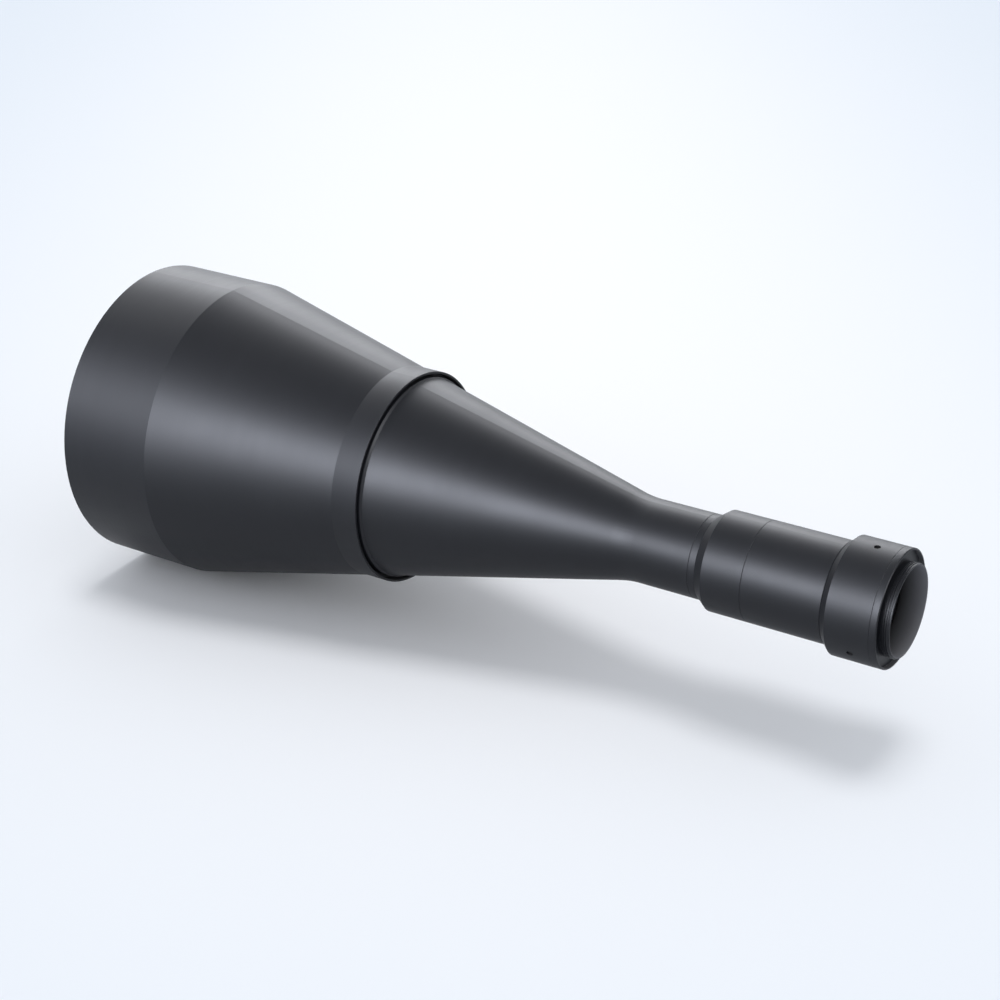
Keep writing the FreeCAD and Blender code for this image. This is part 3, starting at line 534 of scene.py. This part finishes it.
def thread_ridge(name, start, end, root, crest, pitch, steps):
    """A helical ridge from root radius to crest radius that fades out at both ends."""
    piece = bmesh.new()
    foot = RIDGE_FOOT * pitch
    flat = RIDGE_CREST * pitch
    fade = RIDGE_FADE * pitch
    sunk = root - math.copysign(RIDGE_SUNK, crest - root)
    tooth = piece.faces.new(section_rims(piece, [
        (start - foot, sunk), (start - flat, crest), (start + flat, crest), (start + foot, sunk),
    ]))
    turns = (end - start) / pitch
    count = int(steps * turns)
    bmesh.ops.spin(piece, geom=[tooth, *tooth.edges, *tooth.verts], cent=(0, 0, 0), axis=(1, 0, 0),
                   dvec=((end - start) / count, 0, 0), angle=FULL_TURN * turns, steps=count,
                   use_merge=False)
    middle = (sunk + crest) / 2
    for vert in piece.verts:
        radius = math.hypot(vert.co.y, vert.co.z)
        at_the_foot = abs(radius - sunk) < abs(middle - sunk)
        if at_the_foot:
            continue
        run = math.atan2(-vert.co.y, vert.co.z) % FULL_TURN / FULL_TURN * pitch
        in_first_turn = vert.co.x - start - run < 0.5 * pitch
        height = 1.0
        if in_first_turn and run < fade:
            height = run / fade
        if end - vert.co.x < fade:
            height = min(height, (end - vert.co.x) / fade)
        wanted = sunk + (radius - sunk) * max(height, RIDGE_END_HEIGHT)
        vert.co.y *= wanted / radius
        vert.co.z *= wanted / radius
    bmesh.ops.remove_doubles(piece, verts=piece.verts, dist=SAME_PLACE)
    return finished(piece, name)


def attach(piece, material, body):
    """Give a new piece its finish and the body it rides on."""
    piece.data.materials.append(material)
    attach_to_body(piece, body)


class LENS_OT_barrels(bpy.types.Operator):
    """Finish the turned barrels, cones and the mount ring in anodised black"""
    bl_idname = "lens.barrels"
    bl_label = "Anodised Barrels"

    def execute(self, context):
        dress(BARRELS, anodised_black())
        dress(RINGS, anodised_black("anodised_black_rings"))
        return {"FINISHED"}


class LENS_OT_inner_pieces(bpy.types.Operator):
    """Finish the spacers, the baffle and the aperture stop in matt black"""
    bl_idname = "lens.inner_pieces"
    bl_label = "Matt Inner Pieces"

    def execute(self, context):
        dress(MATT_PIECES, matt_black())
        return {"FINISHED"}


class LENS_OT_glass(bpy.types.Operator):
    """Finish the lenses in coated glass"""
    bl_idname = "lens.glass"
    bl_label = "Coated Glass"

    def execute(self, context):
        dress(GLASS_PIECES, coated_glass())
        return {"FINISHED"}


class LENS_OT_set_screws(bpy.types.Operator):
    """Finish the set screws in blackened steel"""
    bl_idname = "lens.set_screws"
    bl_label = "Set Screws"

    def execute(self, context):
        dress(("mount_set_screws",), black_steel())
        return {"FINISHED"}


class LENS_OT_camera_flange(bpy.types.Operator):
    """Camera flange with its seat, its lip and its fine thread"""
    bl_idname = "lens.camera_flange"
    bl_label = "Camera Flange"

    def execute(self, context):
        threads = context.scene.lens_threads
        root = CAMERA_THREAD_RADIUS - threads.camera_depth
        relief = FLANGE_SEAT + CAMERA_THREAD_RELIEF
        flange = turned_piece("camera_flange_dressed", [
            (FLANGE_START, THROAT_RADIUS),
            (FLANGE_START, FLANGE_THREAD_RADIUS),
            (MOUNT_BACK, FLANGE_THREAD_RADIUS),
            (MOUNT_BACK, MOUNT_RADIUS),
            (LIP_END - LIP_CHAMFER, MOUNT_RADIUS),
            (LIP_END, MOUNT_RADIUS - LIP_CHAMFER),
            (LIP_END, MOUNT_RADIUS - LIP_WALL),
            (FLANGE_SEAT, MOUNT_RADIUS - LIP_WALL),
            (FLANGE_SEAT, root),
            (relief, root),
            (LENS_END, root),
            (LENS_END, THROAT_RADIUS),
        ], threads.edge_break, threads.steps)
        # The flange's throat gets painted shade deep in and painted light at its mouth.
        material = anodised_black("anodised_black_flange", paint_mouth_light=True)
        attach(flange, material, "camera_mount")
        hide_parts("camera_flange")
        ridge = thread_ridge(
            "camera_thread", relief + threads.camera_pitch / 2, LENS_END - CAMERA_THREAD_LEAD,
            root, CAMERA_THREAD_RADIUS, threads.camera_pitch, threads.steps,
        )
        attach(ridge, material, "camera_mount")
        return {"FINISHED"}


class LENS_OT_front_thread(bpy.types.Operator):
    """Fine thread inside the front rim, in front of the retaining ring"""
    bl_idname = "lens.front_thread"
    bl_label = "Front Thread"

    def execute(self, context):
        threads = context.scene.lens_threads
        root = RING_RADIUS + RIM_THREAD_ROOM
        ridge = thread_ridge(
            "front_rim_thread", LENS_FRONT + threads.front_pitch,
            RING_FACE - threads.front_pitch / 2,
            root, root - threads.front_depth, threads.front_pitch, threads.steps,
        )
        attach(ridge, anodised_black("anodised_black_rim"), "lens")
        return {"FINISHED"}


def floor_material(studio):
    """Pale floor with a painted pool of light, whitest under the lens and faintly blue further
    out.
    """
    material, tree, shader = new_material("pale_floor")
    turned = tree.nodes.new("ShaderNodeMapping")
    turned.vector_type = "TEXTURE"
    turned.inputs["Rotation"].default_value = (0.0, 0.0, studio.azimuth)
    tree.links.new(coordinates(tree), turned.inputs["Vector"])
    point = separate(tree, turned.outputs["Vector"])
    across = calculate(tree, "DIVIDE", point["X"], FLOOR_FADE_ACROSS)
    behind = calculate(tree, "DIVIDE", point["Y"], FLOOR_FADE_BEHIND)
    ahead = calculate(tree, "DIVIDE", point["Y"], -FLOOR_FADE_AHEAD)
    along = calculate(tree, "MAXIMUM", behind, ahead)
    squares = calculate(tree, "ADD", calculate(tree, "POWER", across, 2.0),
                        calculate(tree, "POWER", along, 2.0))
    spread = tree.nodes.new("ShaderNodeMapRange")
    spread.interpolation_type = "SMOOTHSTEP"
    tree.links.new(calculate(tree, "SQRT", squares), spread.inputs["Value"])
    colour = blend_colours(tree, spread.outputs["Result"], studio.floor_centre_colour,
                           studio.floor_edge_colour)
    tree.links.new(colour, shader.inputs["Base Color"])
    shader.inputs["Roughness"].default_value = 1.0
    shader.inputs["Specular IOR Level"].default_value = 0.0
    return material


def make_floor(studio):
    """A large square floor that the front barrel lies on."""
    plane = bmesh.new()
    bmesh.ops.create_grid(plane, x_segments=1, y_segments=1, size=studio.floor_size / 2)
    mesh = bpy.data.meshes.new("floor")
    plane.to_mesh(mesh)
    plane.free()
    floor = linked("floor", mesh)
    floor.location = FLOOR_MIDDLE - Vector((0.0, 0.0, FRONT_RADIUS))
    floor.data.materials.append(floor_material(studio))


def make_world():
    """Pale all round and darker overhead, like a studio with a plain ceiling."""
    world = bpy.data.worlds.new("studio")
    bpy.context.scene.world = world
    world.use_nodes = True
    tree = world.node_tree
    tree.nodes.clear()
    output = tree.nodes.new("ShaderNodeOutputWorld")
    background = tree.nodes.new("ShaderNodeBackground")
    ramp = tree.nodes.new("ShaderNodeValToRGB")
    stops = ramp.color_ramp.elements
    stops.remove(stops[1])
    stops[0].position = WORLD_TONES[0][0]
    stops[0].color = (*WORLD_TONES[0][1], 1.0)
    for position, colour in WORLD_TONES[1:]:
        stops.new(position).color = (*colour, 1.0)
    height = separate(tree, coordinates(tree, "Generated"))["Z"]
    tree.links.new(height, ramp.inputs["Fac"])
    tree.links.new(ramp.outputs["Color"], background.inputs["Color"])
    tree.links.new(background.outputs["Background"], output.inputs["Surface"])


def aim(item, back):
    """Turn a lamp or the camera to look the opposite way from back."""
    item.rotation_mode = "QUATERNION"
    item.rotation_quaternion = (-back).to_track_quat("-Z", "Y")


def reflection_card(name, middle, towards, width, height, radiance, colour):
    """A lit card that shows only in the lens's gloss, like a softbox just out of view."""
    lamp = bpy.data.lights.new(name, "AREA")
    lamp.shape = "RECTANGLE"
    lamp.size = width
    lamp.size_y = height
    lamp.energy = radiance * math.pi * width * height
    lamp.color = colour
    card = linked(name, lamp)
    back = Vector(towards).normalized()
    card.location = middle + back * CARD_DISTANCE
    aim(card, back)
    card.visible_camera = False
    card.visible_diffuse = False
    card.visible_transmission = False


def overhead_lamp(middle, strength, spread):
    """Soft light from straight above, which throws the shadow on the floor."""
    lamp = bpy.data.lights.new("overhead", "SUN")
    lamp.energy = strength
    lamp.angle = spread
    overhead = linked("overhead", lamp)
    overhead.location = middle + Vector((0.0, 0.0, CARD_DISTANCE))
    overhead.visible_glossy = False


def make_camera(studio):
    """The photograph's view of the lens, from above its camera end."""
    lens = bpy.data.cameras.new("camera")
    lens.sensor_width = SENSOR_WIDTH_MM
    lens.lens = studio.focal_length
    lens.clip_start = NEAREST_SEEN
    lens.clip_end = FARTHEST_SEEN
    camera = linked("camera", lens)
    level = math.cos(studio.elevation)
    back = Vector((math.sin(studio.azimuth) * level, -math.cos(studio.azimuth) * level,
                   math.sin(studio.elevation)))
    camera.location = Vector(studio.target) + back * studio.distance
    aim(camera, back)
    bpy.context.scene.camera = camera


class LENS_OT_studio(bpy.types.Operator):
    """Floor, world, lamps and the camera at the photograph's angle"""
    bl_idname = "lens.studio"
    bl_label = "Studio"

    def execute(self, context):
        studio = context.scene.lens_studio
        make_camera(studio)
        make_floor(studio)
        make_world()
        middle = Vector(studio.target)
        overhead_lamp(middle, studio.overhead_strength, studio.overhead_spread)
        for name, towards, width, height, share, colour in CARDS:
            radiance = share * studio.card_strength
            reflection_card(name, middle, towards, width, height, radiance, colour)
        context.scene.view_settings.view_transform = "Standard"
        return {"FINISHED"}


class LENS_PT_panel(bpy.types.Panel):
    """Sidebar list of the lens's pieces and settings"""
    bl_label = "Telecentric Lens"
    bl_space_type = "VIEW_3D"
    bl_region_type = "UI"
    bl_category = "Lens"

    def draw(self, context):
        scene = context.scene
        for operator in OPERATORS:
            self.layout.operator(operator.bl_idname)
        for group in (scene.lens_finish, scene.lens_threads, scene.lens_studio):
            for name in group.__annotations__:
                self.layout.prop(group, name)


OPERATORS = (
    LENS_OT_studio, LENS_OT_barrels, LENS_OT_inner_pieces, LENS_OT_glass, LENS_OT_set_screws,
    LENS_OT_camera_flange, LENS_OT_front_thread,
)
CLASSES = (FinishSettings, ThreadSettings, StudioSettings, *OPERATORS, LENS_PT_panel)


def register():
    for item in CLASSES:
        bpy.utils.register_class(item)
    bpy.types.Scene.lens_finish = PointerProperty(type=FinishSettings)
    bpy.types.Scene.lens_threads = PointerProperty(type=ThreadSettings)
    bpy.types.Scene.lens_studio = PointerProperty(type=StudioSettings)


def unregister():
    del bpy.types.Scene.lens_studio
    del bpy.types.Scene.lens_threads
    del bpy.types.Scene.lens_finish
    for item in reversed(CLASSES):
        bpy.utils.unregister_class(item)


def main():
    register()
    bpy.ops.lens.studio()
    bpy.ops.lens.barrels()
    bpy.ops.lens.inner_pieces()
    bpy.ops.lens.glass()
    bpy.ops.lens.set_screws()
    bpy.ops.lens.camera_flange()
    bpy.ops.lens.front_thread()


if __name__ == "__main__":
    main()
